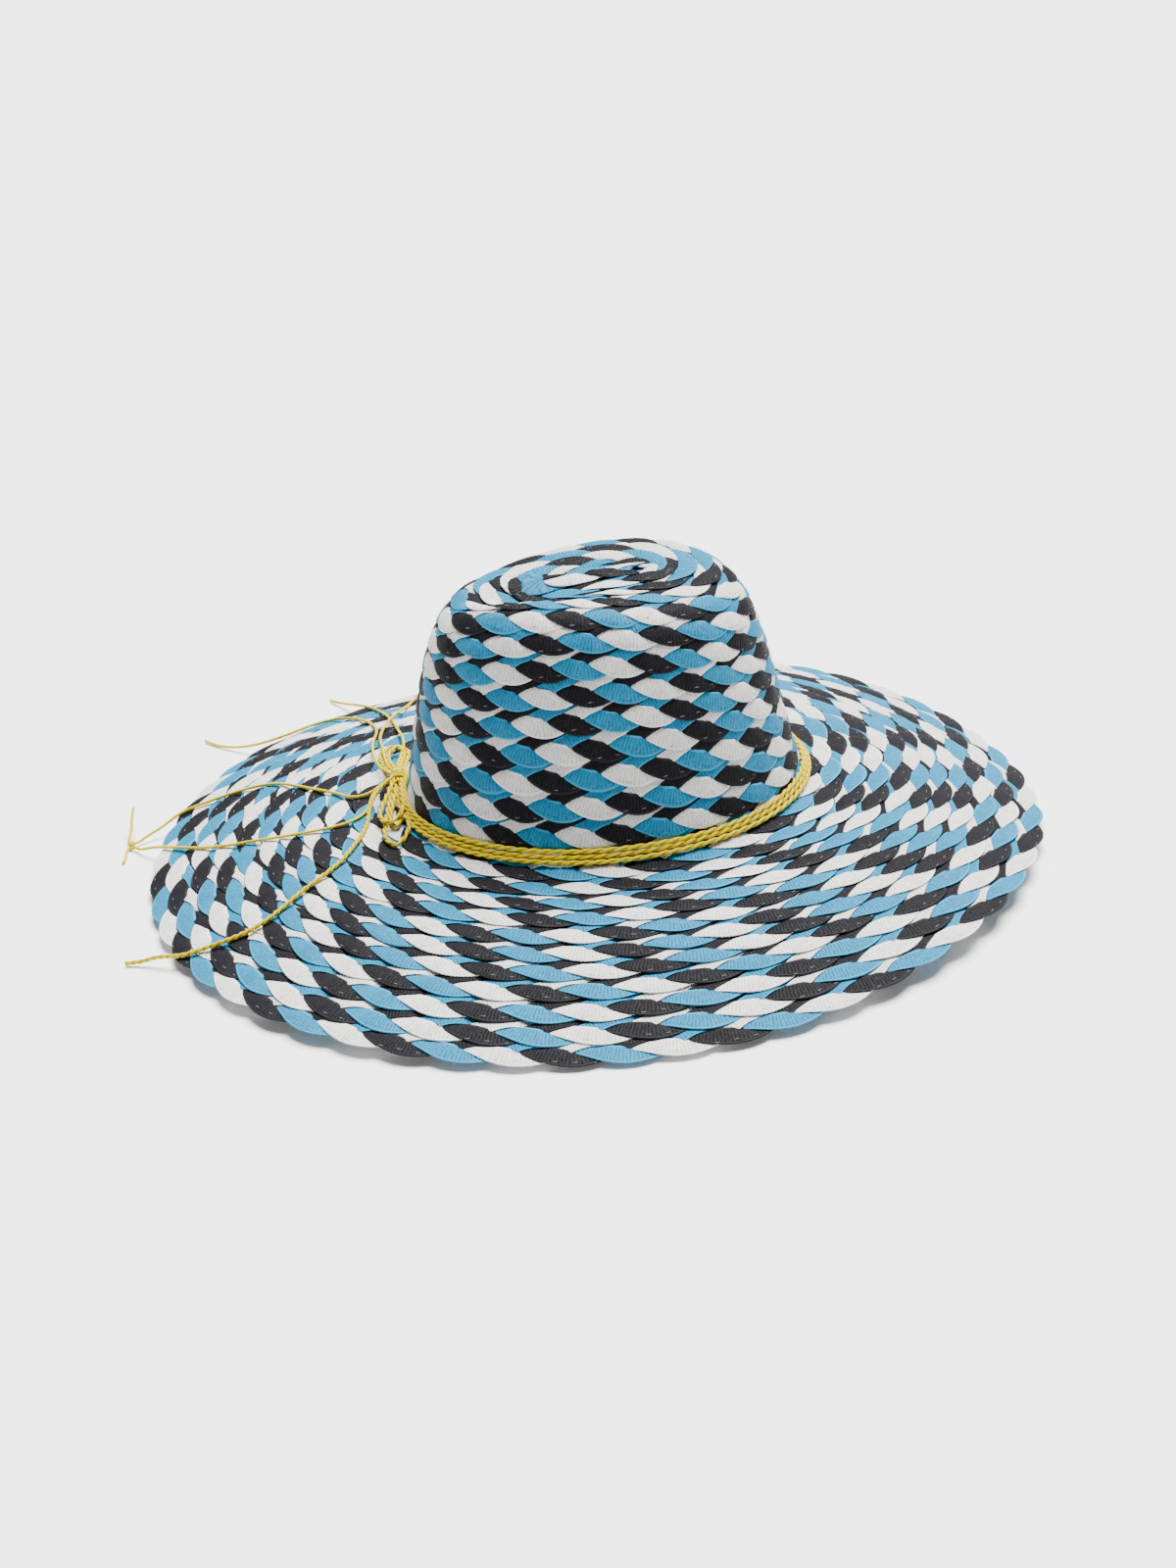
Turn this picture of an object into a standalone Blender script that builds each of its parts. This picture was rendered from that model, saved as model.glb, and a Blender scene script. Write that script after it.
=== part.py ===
"""Wide straw sun hat: crown, brim, a three-cord band tied in a bow, and the bow's loose cord ends.

The hat rests on its brim edge. +X runs along the head to the hat's right in the picture, +Y away from
the viewer and +Z up, with the floor at z = 0. The straw is one plait sewn round and round, so every
surface is read from one form that is a function of the row of plait and the angle round the head.
"""

import math

import bmesh
import bpy
import numpy as np

# Head line: the outside of the crown where it turns into the brim.
HEAD_HALF_LENGTH = 0.1050
HEAD_HALF_DEPTH = 0.0888
HEAD_LINE_HEIGHT = 0.0328
# Crown, from the head line up to its rim, and how far its top stands off the middle of the brim.
CROWN_HEIGHT = 0.1210
CROWN_SHIFT = 0.0130
# Brim, from the head line out to its edge, and how far the edge droops under the head line.
BRIM_WIDTH = 0.1325
BRIM_DROP = 0.0275
EDGE_WAVE = 0.0020
# Dent in the crown's top, its centre measured from the middle of the brim.
DENT_DEPTH = 0.0080
DENT_HALF_LENGTH = 0.0340
DENT_HALF_WIDTH = 0.0120
DENT_X = -0.0220
DENT_Y = -0.0160
# Straw: thickness of the sewn plait, and how far each row laps over the next one.
STRAW_THICKNESS = 0.0020
ROW_LAP = 0.0014
# Cords: twisted paper, whole for the band and bow, single ply at most of the loose ends.
CORD_RADIUS = 0.0013
PLY_RADIUS = 0.0007
THICK_TAIL_RADIUS = 0.0011
GAP = 0.0003
PLAIT_RELIEF = 0.0014
# Bow: how far its knot sits out from the crown's foot, how far back, and the knot's half sizes.
KNOT_OUT = 0.01044
KNOT_Y = 0.0170
KNOT_LIFT = 0.0038
KNOT_HALF_LENGTH = 0.0060
KNOT_HALF_WIDTH = 0.0052
KNOT_HALF_HEIGHT = 0.0036
END_KNOT_RADIUS = 0.0022
# How far the ends of the loops step back toward the crown from straight out of the knot.
LOOP_LEAN = 0.0056

# Rows of plait: the crown turns into the brim at HEAD_ROW, and the edge of the brim is EDGE_ROW.
HEAD_ROW = 12.86
TOP_ROWS = 3
EDGE_ROW = 24.5
# The brim's waves grow from WAVE_ROW to its edge.
WAVE_ROW = 13.5
CROWN_SEGMENTS = 32
BRIM_SEGMENTS = 32

# Crown sections: row, half length and half depth as shares of the head line's, shift as a share of
# CROWN_SHIFT, then height, saddle, twist and lean as shares of CROWN_HEIGHT.
CROWN_FORM = (
    # row, length, depth, shift, height, saddle, twist, lean
    (0.0, 0.190, 0.000, 1.00, 1.000, 0.000, 0.000, 0.000),
    (1.0, 0.333, 0.146, 0.92, 0.996, -0.004, 0.006, 0.006),
    (2.0, 0.476, 0.293, 0.77, 0.988, -0.012, 0.012, 0.010),
    (3.0, 0.610, 0.434, 0.73, 0.974, -0.017, 0.021, 0.005),
    (4.0, 0.714, 0.557, 0.73, 0.916, -0.033, 0.021, -0.005),
    (5.0, 0.781, 0.648, 0.69, 0.826, -0.041, 0.017, -0.003),
    (6.0, 0.819, 0.698, 0.65, 0.730, -0.038, 0.016, 0.000),
    (8.0, 0.876, 0.788, 0.62, 0.531, -0.028, 0.000, 0.000),
    (10.0, 0.924, 0.878, 0.58, 0.322, -0.017, 0.000, 0.000),
    (12.0, 0.971, 0.963, 0.58, 0.112, -0.005, 0.000, 0.000),
    (12.8, 1.000, 1.000, 0.58, 0.037, 0.000, 0.000, 0.000),
)
# Brim sections: row, distance out as a share of BRIM_WIDTH, drop as a share of BRIM_DROP, and shift
# as a share of CROWN_SHIFT.
BRIM_FORM = (
    # row, out, drop, shift
    (13.5, 0.045, 0.000, 0.55),
    (16.0, 0.255, 0.109, 0.42),
    (20.0, 0.604, 0.436, 0.23),
    (24.5, 1.000, 1.000, 0.00),
)
# Waves of the brim edge: waves round the hat, and their cosine and sine as shares of EDGE_WAVE.
EDGE_WAVES = (
    # waves, cosine, sine
    (2, 0.40, -0.65),
    (3, -0.45, -0.35),
    (4, -0.90, -0.85),
)
# Lap of a row: place in the row, and height as a share of ROW_LAP.
ROW_PROFILE = (
    # place, height
    (-0.38, -0.5),
    (0.46, 0.5),
)
# Band cords round the head line, and the row of plait that each lies on.
BAND_SEATS = (
    # name, row
    ("band_cord_low", 12.98),
    ("band_cord_middle", 12.62),
    ("band_cord_high", 12.30),
)
BAND_POINTS = 32
# The crown's foot at its left end, and the knot beside it.
FOOT_X = CROWN_FORM[-1][3] * CROWN_SHIFT - HEAD_HALF_LENGTH
KNOT_X = FOOT_X - KNOT_OUT

# Loops of the bow, laid on the brim from the knot: reach along the band (minus is toward the
# viewer), half width, side step where it leaves the knot, and layer (1 lies over 0).
BOW_LOOPS = (
    # name, reach, half_width, leave, layer
    ("bow_loop_near_long", -0.0620, 0.0088, 0.0044, 0),
    ("bow_loop_near_short", -0.0400, 0.0034, 0.0015, 0),
    ("bow_loop_near_top", -0.0500, 0.0062, 0.0030, 1),
    ("bow_loop_far_long", 0.0480, 0.0086, 0.0044, 0),
    ("bow_loop_far_short", 0.0350, 0.0034, 0.0015, 0),
)
LOOP_POINTS = 13

# Loose ends: route points as x, y and lift above where the cord would rest, in metres.
TAIL_FAR_CROSSING = (
    # x, y, lift
    (-0.1046, 0.0226, 0.0052),
    (-0.1030, 0.0400, 0.0036),
    (-0.1012, 0.0600, 0.0030),
    (-0.1024, 0.0770, 0.0022),
    (-0.1051, 0.0892, 0.0010),
    (-0.1090, 0.1098, 0.0000),
    (-0.1195, 0.1480, 0.0000),
    (-0.1311, 0.1779, 0.0002),
    (-0.1385, 0.1890, 0.0050),
    (-0.1462, 0.1985, 0.0022),
    (-0.1552, 0.2090, 0.0002),
)
TAIL_FAR_CROWN = (
    # x, y, lift
    (-0.1074, 0.0232, 0.0050),
    (-0.1092, 0.0400, 0.0038),
    (-0.1124, 0.0600, 0.0032),
    (-0.1150, 0.0800, 0.0012),
    (-0.1148, 0.0960, 0.0004),
    (-0.1115, 0.1100, 0.0020),
    (-0.1072, 0.1230, 0.0024),
    (-0.1030, 0.1480, 0.0002),
    (-0.1002, 0.1661, 0.0000),
    (-0.0985, 0.1760, 0.0000),
)
TAIL_FAR_LONG = (
    # x, y, lift
    (-0.1102, 0.0230, 0.0052),
    (-0.1138, 0.0400, 0.0036),
    (-0.1180, 0.0600, 0.0024),
    (-0.1190, 0.0800, 0.0006),
    (-0.1184, 0.0980, 0.0000),
    (-0.1221, 0.1165, 0.0000),
    (-0.1308, 0.1376, 0.0000),
    (-0.1431, 0.1540, 0.0000),
    (-0.1553, 0.1575, 0.0000),
    (-0.1664, 0.1500, 0.0004),
    (-0.1775, 0.1425, 0.0004),
    (-0.1895, 0.1425, 0.0070),
    (-0.2070, 0.1500, 0.0020),
    (-0.2198, 0.1585, 0.0002),
    (-0.2285, 0.1665, 0.0004),
)
TAIL_LEFT_UPPER = (
    # x, y, lift
    (-0.1137, 0.0168, 0.0018),
    (-0.1180, 0.0130, 0.0008),
    (-0.1256, 0.0115, 0.0000),
    (-0.1354, 0.0173, 0.0000),
    (-0.1498, 0.0297, 0.0000),
    (-0.1631, 0.0436, 0.0000),
    (-0.1765, 0.0552, 0.0000),
    (-0.1889, 0.0594, 0.0000),
    (-0.2004, 0.0602, 0.0000),
    (-0.2146, 0.0592, 0.0000),
    (-0.2291, 0.0556, 0.0000),
    (-0.2400, 0.0480, 0.0046),
    (-0.2492, 0.0418, 0.0018),
    (-0.2533, 0.0393, 0.0010),
)
TAIL_LEFT_LOWER = (
    # x, y, lift
    (-0.1140, 0.0137, 0.0030),
    (-0.1159, 0.0095, 0.0018),
    (-0.1172, 0.0030, 0.0006),
    (-0.1202, -0.0088, 0.0000),
    (-0.1308, -0.0186, 0.0000),
    (-0.1464, -0.0204, 0.0000),
    (-0.1614, -0.0178, 0.0000),
    (-0.1770, -0.0125, 0.0000),
    (-0.1932, -0.0069, 0.0000),
    (-0.2135, 0.0038, 0.0000),
    (-0.2343, 0.0183, 0.0004),
    (-0.2440, 0.0262, 0.0040),
    (-0.2505, 0.0316, 0.0014),
    (-0.2535, 0.0343, 0.0010),
)
TAIL_NEAR = (
    # x, y, lift
    (-0.1129, 0.0141, 0.0052),
    (-0.1143, 0.0092, 0.0052),
    (-0.1160, -0.0040, 0.0034),
    (-0.1176, -0.0190, 0.0004),
    (-0.1222, -0.0400, 0.0000),
    (-0.1287, -0.0563, 0.0000),
    (-0.1369, -0.0666, 0.0000),
    (-0.1457, -0.0737, 0.0000),
    (-0.1622, -0.0885, 0.0000),
    (-0.1778, -0.0964, 0.0000),
    (-0.1965, -0.0981, 0.0000),
    (-0.2119, -0.0972, 0.0000),
    (-0.2225, -0.0940, 0.0044),
    (-0.2315, -0.0918, 0.0016),
    (-0.2403, -0.0903, 0.0002),
)
END_TIP_UP = (
    # x, y, lift
    (-0.2556, 0.0396, 0.0014),
    (-0.2562, 0.0460, 0.0040),
    (-0.2560, 0.0540, 0.0082),
    (-0.2555, 0.0620, 0.0118),
)
END_TIP_DOWN = (
    # x, y, lift
    (-0.2560, 0.0340, 0.0006),
    (-0.2568, 0.0270, 0.0002),
    (-0.2572, 0.0190, 0.0000),
)
TAILS = (
    # name, radius, route
    ("tail_far_crossing", PLY_RADIUS, TAIL_FAR_CROSSING),
    ("tail_far_crown", PLY_RADIUS, TAIL_FAR_CROWN),
    ("tail_far_long", PLY_RADIUS, TAIL_FAR_LONG),
    ("tail_left_upper", PLY_RADIUS, TAIL_LEFT_UPPER),
    ("tail_left_lower", PLY_RADIUS, TAIL_LEFT_LOWER),
    ("tail_near", THICK_TAIL_RADIUS, TAIL_NEAR),
    ("end_tip_up", PLY_RADIUS, END_TIP_UP),
    ("end_tip_down", PLY_RADIUS, END_TIP_DOWN),
)
END_KNOT_X = -0.2550
END_KNOT_Y = 0.0368
TAIL_SPACING = 0.0066


def smooth_curve(stations, values, wanted):
    """Natural cubic curve through values at stations, read at the wanted places."""
    stations = np.asarray(stations, float)
    values = np.asarray(values, float)
    count = len(stations)
    step = np.diff(stations)
    system = np.zeros((count, count))
    right = np.zeros((count,) + values.shape[1:])
    system[0, 0] = 1.0
    system[-1, -1] = 1.0
    for i in range(1, count - 1):
        system[i, i - 1] = step[i - 1]
        system[i, i] = 2.0 * (step[i - 1] + step[i])
        system[i, i + 1] = step[i]
        ahead = (values[i + 1] - values[i]) / step[i]
        behind = (values[i] - values[i - 1]) / step[i - 1]
        right[i] = 6.0 * (ahead - behind)
    bend = np.linalg.solve(system, right)
    wanted = np.asarray(wanted, float)
    at = np.clip(np.searchsorted(stations, wanted) - 1, 0, count - 2)
    along = wanted - stations[at]
    width = step[at]
    if values.ndim > 1:
        along = along[..., None]
        width = width[..., None]
    slope = (values[at + 1] - values[at]) / width - width * (2.0 * bend[at] + bend[at + 1]) / 6.0
    growth = (bend[at + 1] - bend[at]) / (6.0 * width)
    return values[at] + slope * along + bend[at] / 2.0 * along**2 + growth * along**3


def form_sections():
    """Every section of the hat, tip to edge: row, half length, half depth, shift, height and tilts."""
    sections = []
    for row, length, depth, shift, height, saddle, twist, lean in CROWN_FORM:
        sections.append((
            row,
            length * HEAD_HALF_LENGTH,
            depth * HEAD_HALF_DEPTH,
            shift * CROWN_SHIFT,
            height * CROWN_HEIGHT,
            saddle * CROWN_HEIGHT,
            twist * CROWN_HEIGHT,
            lean * CROWN_HEIGHT,
        ))
    for row, out, drop, shift in BRIM_FORM:
        sections.append((
            row,
            HEAD_HALF_LENGTH + out * BRIM_WIDTH,
            HEAD_HALF_DEPTH + out * BRIM_WIDTH,
            shift * CROWN_SHIFT,
            -drop * BRIM_DROP,
            0.0,
            0.0,
            0.0,
        ))
    return np.array(sections)


SECTIONS = form_sections()


def straw(row, angle):
    """Points of the straw's outer face at each row of plait and angle round the head."""
    row, angle = np.broadcast_arrays(np.asarray(row, float), np.asarray(angle, float))
    read = smooth_curve(SECTIONS[:, 0], SECTIONS[:, 1:], row)
    half_length, half_depth, shift, height, saddle, twist, lean = np.moveaxis(read, -1, 0)
    x = shift + half_length * np.cos(angle)
    y = half_depth * np.sin(angle)
    tilts = saddle * np.cos(2 * angle) + twist * np.sin(2 * angle) + lean * np.sin(angle)
    z = HEAD_LINE_HEIGHT + height + tilts
    out = np.clip((row - WAVE_ROW) / (EDGE_ROW - WAVE_ROW), 0.0, 1.0) ** 1.5
    for waves, cosine, sine in EDGE_WAVES:
        z = z + EDGE_WAVE * out * (cosine * np.cos(waves * angle) + sine * np.sin(waves * angle))
    dented = np.clip((4.2 - row) / 1.5, 0.0, 1.0)
    dented = dented * dented * (3.0 - 2.0 * dented)
    along = (x - DENT_X) / DENT_HALF_LENGTH
    across = (y - DENT_Y) / DENT_HALF_WIDTH
    z = z - DENT_DEPTH * dented * np.exp(-along * along - across * across)
    return np.stack([x, y, z], -1)


def outward(row, angle):
    """Unit directions out of the straw at each row and angle."""
    row = np.maximum(np.asarray(row, float), 0.02)
    down = straw(row + 0.01, angle) - straw(row - 0.01, angle)
    round_head = straw(row, angle + 0.002) - straw(row, angle - 0.002)
    normal = np.cross(down, round_head)
    return normal / np.linalg.norm(normal, axis=-1, keepdims=True)


def straw_height(x, y):
    """Height of the brim's upper face over one point of the floor, or 0 beyond the brim's edge."""
    low, high = HEAD_ROW, EDGE_ROW + 0.4
    for _ in range(40):
        row = 0.5 * (low + high)
        half_length, half_depth, shift = smooth_curve(SECTIONS[:, 0], SECTIONS[:, 1:4], row)
        if ((x - shift) / half_length) ** 2 + (y / half_depth) ** 2 > 1.0:
            low = row
        else:
            high = row
    if row > EDGE_ROW:
        return 0.0
    angle = math.atan2(y / half_depth, (x - shift) / half_length)
    return float(straw(row, angle)[2])


def make_material(name, colour, roughness):
    """A plain material of one colour."""
    material = bpy.data.materials.new(name)
    material.use_nodes = True
    surface = material.node_tree.nodes["Principled BSDF"]
    surface.inputs["Base Color"].default_value = (*colour, 1.0)
    surface.inputs["Roughness"].default_value = roughness
    return material


def straw_shell(name, rows, lifts, segments, closed_tip, colour, collection):
    """A shell of straw through loops at the given rows, thickened inward from its outer face."""
    angles = np.linspace(0.0, 2.0 * math.pi, segments, endpoint=False)
    points = []
    loops = []
    for row, lift in zip(rows, lifts):
        loop = straw(row, angles) + lift * outward(row, angles)
        if closed_tip and row == 0.0:
            half = segments // 2
            loop[:, 1] = 0.0
            first = len(points)
            points.extend(loop[: half + 1])
            loops.append([first + min(i, segments - i) for i in range(segments)])
        else:
            first = len(points)
            points.extend(loop)
            loops.append([first + i for i in range(segments)])
    faces = []
    for inner, outer in zip(loops[:-1], loops[1:]):
        for i in range(segments):
            j = (i + 1) % segments
            corners = [inner[i], outer[i], outer[j], inner[j]]
            if corners[0] == corners[3]:
                corners = corners[:3]
            faces.append(corners)
    mesh = bpy.data.meshes.new(name)
    mesh.from_pydata([tuple(p) for p in points], [], faces)
    mesh.update()
    mesh.shade_smooth()
    shell = bpy.data.objects.new(name, mesh)
    shell.data.materials.append(make_material(name + "_straw", colour, 0.7))
    collection.objects.link(shell)
    thicken = shell.modifiers.new("Thickness", "SOLIDIFY")
    thicken.thickness = STRAW_THICKNESS
    thicken.offset = -1.0
    thicken.use_even_offset = True
    return shell


def lapped_rows(first, last):
    """Rows and lifts of the loops that show each row of plait lapping over the next."""
    rows = []
    lifts = []
    for whole in range(int(first), int(last) + 2):
        for place, height in ROW_PROFILE:
            row = whole + place
            if first + 0.12 < row < last - 0.12:
                rows.append(row)
                lifts.append(height * ROW_LAP)
    return rows, lifts


def even_points(route, spacing, closed=False):
    """Points at an even spacing along a smooth curve through a route."""
    route = np.asarray(route, float)
    if closed:
        route = np.vstack([route[-3:], route, route[:4]])
    length = np.concatenate([[0.0], np.cumsum(np.linalg.norm(np.diff(route, axis=0), axis=1))])
    start, end = (length[3], length[-4]) if closed else (0.0, length[-1])
    fine = smooth_curve(length, route, np.linspace(start, end, 800))
    run = np.concatenate([[0.0], np.cumsum(np.linalg.norm(np.diff(fine, axis=0), axis=1))])
    count = max(3, int(round(run[-1] / spacing)) + 1)
    wanted = np.linspace(0.0, run[-1], count)
    even = np.stack([np.interp(wanted, run, fine[:, axis]) for axis in range(3)], -1)
    return even[:-1] if closed else even


def cord(name, points, radius, closed, collection):
    """A round cord as a tube along the given points."""
    curve = bpy.data.curves.new(name, "CURVE")
    curve.dimensions = "3D"
    curve.bevel_depth = radius
    curve.bevel_resolution = 2
    curve.use_fill_caps = not closed
    spline = curve.splines.new("POLY")
    spline.points.add(len(points) - 1)
    for spot, place in zip(spline.points, points):
        spot.co = (*place, 1.0)
    spline.use_cyclic_u = closed
    spline.use_smooth = True
    tube = bpy.data.objects.new(name, curve)
    tube.data.materials.append(make_material(name + "_paper", (0.85, 0.62, 0.02), 0.6))
    collection.objects.link(tube)
    return tube


def laid_route(route, radius):
    """A route of x, y and lift as points in space, resting on the straw or on the floor."""
    points = []
    for x, y, lift in route:
        under = straw_height(x, y)
        rest = under + PLAIT_RELIEF + radius if under > 0.0 else radius + GAP
        points.append((x, y, rest + lift))
    return points


def loop_route(reach, half_width, leave, layer):
    """The route of one loop of the bow, out from the knot and back."""
    toward = math.copysign(1.0, reach)
    longest = max(abs(other[1]) for other in BOW_LOOPS)
    step = 2.0 * CORD_RADIUS + 2.0 * GAP
    aside = max(0.0, leave - CORD_RADIUS) / KNOT_HALF_WIDTH
    above = max(0.0, 0.5 * step - CORD_RADIUS) / KNOT_HALF_HEIGHT
    start = KNOT_Y + toward * (KNOT_HALF_LENGTH * math.sqrt(1.0 - aside**2 - above**2) + GAP)
    points = []
    for turn in np.linspace(0.0, math.pi, 25):
        out = math.sin(turn)
        y = start + reach * out**0.9
        swell = math.cos(turn) * (leave + (half_width - leave) * min(1.0, 1.4 * out) ** 2)
        lean = LOOP_LEAN * (abs(y - start) / longest) ** 1.6 if toward < 0 else 0.0
        x = KNOT_X + swell + lean
        rest = straw_height(x, y) + PLAIT_RELIEF + CORD_RADIUS + layer * step
        high = HEAD_LINE_HEIGHT + KNOT_LIFT + (layer - 0.5) * step
        points.append((x, y, rest + max(0.0, high - rest) * max(0.0, 1.0 - 3.0 * out) ** 2))
    return points


def round_knot(name, place, half_sizes, collection):
    """A knot as a rounded lump, its cord's turns left to the surface."""
    mesh = bpy.data.meshes.new(name)
    shape = bmesh.new()
    bmesh.ops.create_uvsphere(shape, u_segments=10, v_segments=6, radius=1.0)
    shape.to_mesh(mesh)
    shape.free()
    for vertex in mesh.vertices:
        vertex.co = [place[axis] + vertex.co[axis] * half_sizes[axis] for axis in range(3)]
    mesh.update()
    mesh.shade_smooth()
    knot = bpy.data.objects.new(name, mesh)
    knot.data.materials.append(make_material(name + "_paper", (0.85, 0.62, 0.02), 0.6))
    collection.objects.link(knot)
    return knot


def build():
    """Makes every piece of the hat."""
    for old in list(bpy.data.objects):
        bpy.data.objects.remove(old, do_unlink=True)
    hat = bpy.data.collections.new("Sun hat")
    bpy.context.scene.collection.children.link(hat)

    rows, lifts = lapped_rows(TOP_ROWS, HEAD_ROW)
    top = [float(row) for row in range(TOP_ROWS + 1)]
    rows = top + rows + [HEAD_ROW]
    lifts = [0.0] * len(top) + lifts + [0.0]
    straw_shell("crown", rows, lifts, CROWN_SEGMENTS, True, (0.20, 0.42, 0.52), hat)

    span = np.linalg.norm(straw(HEAD_ROW + 0.05, 0.0) - straw(HEAD_ROW, 0.0)) / 0.05
    brim_start = HEAD_ROW + GAP / span
    rows, lifts = lapped_rows(brim_start, EDGE_ROW)
    rows = [brim_start] + rows + [EDGE_ROW]
    lifts = [0.0] + lifts + [0.0]
    straw_shell("brim", rows, lifts, BRIM_SEGMENTS, False, (0.24, 0.48, 0.58), hat)

    angles = np.linspace(0.0, 2.0 * math.pi, BAND_POINTS, endpoint=False)
    for name, row in BAND_SEATS:
        seat = straw(row, angles) + (ROW_LAP / 2 + GAP + CORD_RADIUS) * outward(row, angles)
        cord(name, seat, CORD_RADIUS, True, hat)

    round_knot(
        "bow_knot",
        (KNOT_X, KNOT_Y, HEAD_LINE_HEIGHT + KNOT_LIFT),
        (KNOT_HALF_WIDTH, KNOT_HALF_LENGTH, KNOT_HALF_HEIGHT),
        hat,
    )
    for name, reach, half_width, leave, layer in BOW_LOOPS:
        route = loop_route(reach, half_width, leave, layer)
        length = float(np.sum(np.linalg.norm(np.diff(np.array(route), axis=0), axis=1)))
        cord(name, even_points(route, length / (LOOP_POINTS - 1)), CORD_RADIUS, False, hat)

    for name, radius, route in TAILS:
        cord(name, even_points(laid_route(route, radius), TAIL_SPACING), radius, False, hat)
    place = (END_KNOT_X, END_KNOT_Y, END_KNOT_RADIUS + GAP)
    round_knot("end_knot", place, (END_KNOT_RADIUS,) * 3, hat)


build()
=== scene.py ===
"""Looks of the wide sun hat: its plaited straw, stitches and twisted cords, with camera, floor and light.

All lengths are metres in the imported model's frame: +X along the head, +Y away from the viewer and +Z up,
with the floor at z = 0. The straw is one plait of three flat strands, sewn round and round from the middle
of the crown's top to the brim's edge. A place on it is a distance along the plait and one across it.
"""

from __future__ import annotations

import logging
import math
from dataclasses import dataclass
from enum import Enum

import bpy
import numpy as np
from mathutils import Matrix


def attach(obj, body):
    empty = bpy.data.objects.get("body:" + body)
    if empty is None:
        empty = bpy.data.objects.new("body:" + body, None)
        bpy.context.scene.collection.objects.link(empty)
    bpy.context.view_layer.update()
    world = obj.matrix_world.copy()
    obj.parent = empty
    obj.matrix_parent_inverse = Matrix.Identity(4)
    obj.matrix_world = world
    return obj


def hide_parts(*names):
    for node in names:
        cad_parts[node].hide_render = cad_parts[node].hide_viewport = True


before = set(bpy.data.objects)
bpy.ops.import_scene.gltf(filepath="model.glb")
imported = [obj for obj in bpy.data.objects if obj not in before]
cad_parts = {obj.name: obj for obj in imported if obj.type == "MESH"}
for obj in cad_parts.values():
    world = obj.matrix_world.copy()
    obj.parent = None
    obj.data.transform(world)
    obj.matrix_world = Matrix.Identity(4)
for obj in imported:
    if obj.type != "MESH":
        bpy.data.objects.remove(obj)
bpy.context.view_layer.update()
LOG = logging.getLogger("sun_hat")
Array = np.ndarray
Piece = bpy.types.Object
Material = bpy.types.Material
Three = tuple[float, float, float]
Colour = Three
FULL_TURN = 2.0 * math.pi
# How many points a route's smooth curve is measured at.
FINE_POINTS = 2400

# Crown sections: row of plait, half length and half depth as shares of the head line's, shift as a
# share of the crown's, then height, saddle, twist and lean as shares of the crown's height.
CROWN_FORM = (
    # row, length, depth, shift, height, saddle, twist, lean
    (0, 0.19, 0, 1, 1, 0, 0, 0),
    (1, 0.333, 0.146, 0.92, 0.996, -0.004, 0.006, 0.006),
    (2, 0.476, 0.293, 0.77, 0.988, -0.012, 0.012, 0.01),
    (3, 0.61, 0.434, 0.73, 0.974, -0.017, 0.021, 0.005),
    (4, 0.714, 0.557, 0.73, 0.916, -0.033, 0.021, -0.005),
    (5, 0.781, 0.648, 0.69, 0.826, -0.041, 0.017, -0.003),
    (6, 0.819, 0.698, 0.65, 0.73, -0.038, 0.016, 0),
    (8, 0.876, 0.788, 0.62, 0.531, -0.028, 0, 0),
    (10, 0.924, 0.878, 0.58, 0.322, -0.017, 0, 0),
    (12, 0.971, 0.963, 0.58, 0.112, -0.005, 0, 0),
    (12.8, 1, 1, 0.58, 0.037, 0, 0, 0),
)
# Brim sections: row, distance out as a share of the brim's width, drop as a share of its droop, and
# shift as a share of the crown's.
BRIM_FORM = ((13.5, 0.045, 0, 0.55), (16, 0.255, 0.109, 0.42), (20, 0.604, 0.436, 0.23), (24.5, 1, 1, 0))
# Waves of the brim's edge: waves round the hat, and their cosine and sine as shares of the edge wave.
EDGE_WAVES = ((2, 0.4, -0.65), (3, -0.45, -0.35), (4, -0.9, -0.85))
# Where each turn of the plait shows its colours at the front, and the first two at the back: turns
# from the start, and which leaf lies on the middle line there (0 blue, 1 black, 2 white).
FRONT_LEAVES = (
    (0.5, 1.6), (1.5, 0.6), (2, 2.46), (3, 1.66), (4, 0.43), (5, 2.76), (6, 2.52), (7, 0.58),
    (8, 0.27), (9, 0.88), (10, 2.63), (11, 1.64), (12, 1.32), (14, 1.95), (15, 1.4),
    (16, 2.08), (17, 2.53), (18, 1.2), (19, 1.28), (20, 1.7), (21, 2.66), (22, 1.55),
    (23, 1.52), (24, 2.99),
)
# The plait's own sizes along it: turn, then leaf length, and sway and half width of a strand, in mm.
PLAIT_SIZES = (
    (0, 18.5, 4.4, 3.7), (4, 18.8, 4.75, 3.95), (8, 18.9, 4.8, 4), (10.5, 19.2, 5.15, 4.4),
    (13, 20.6, 4.8, 4), (15.5, 22.4, 5.05, 4.35), (18, 23.7, 4.6, 3.95), (20.5, 24.7, 4.6, 3.95),
    (22.6, 25.1, 5, 4.3), (25, 25.5, 4.7, 4.05),
)
# How far the plait's middle line lies from the even spiral: turn, and rows outward. Each turn lies a
# little inward, so that its outer edge ends half a row out, and the last one closes the brim's edge.
ROW_SHIFTS = (
    (0, 0), (1, -0.07), (2.5, -0.22), (4, -0.31), (8, -0.34), (10, -0.33), (11, -0.31),
    (12, -0.24), (13, -0.47), (14, -0.74), (15, -0.64), (16, -0.46), (17, -0.35),
    (18, -0.32), (20, -0.35), (22, -0.36), (23, -0.28), (23.5, -0.17), (23.75, -0.16),
    (24, -0.32), (24.3, -0.57), (24.45, -0.72), (24.62, -1.1),
)


class Strand(Enum):
    """The plait's three strands, in the order in which their leaves follow each other along it."""

    BLUE = 0
    BLACK = 1
    WHITE = 2


class Region(Enum):
    """The two stretches of the plait, and the solid that each stands for."""

    CROWN = "crown"
    BRIM = "brim"


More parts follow.
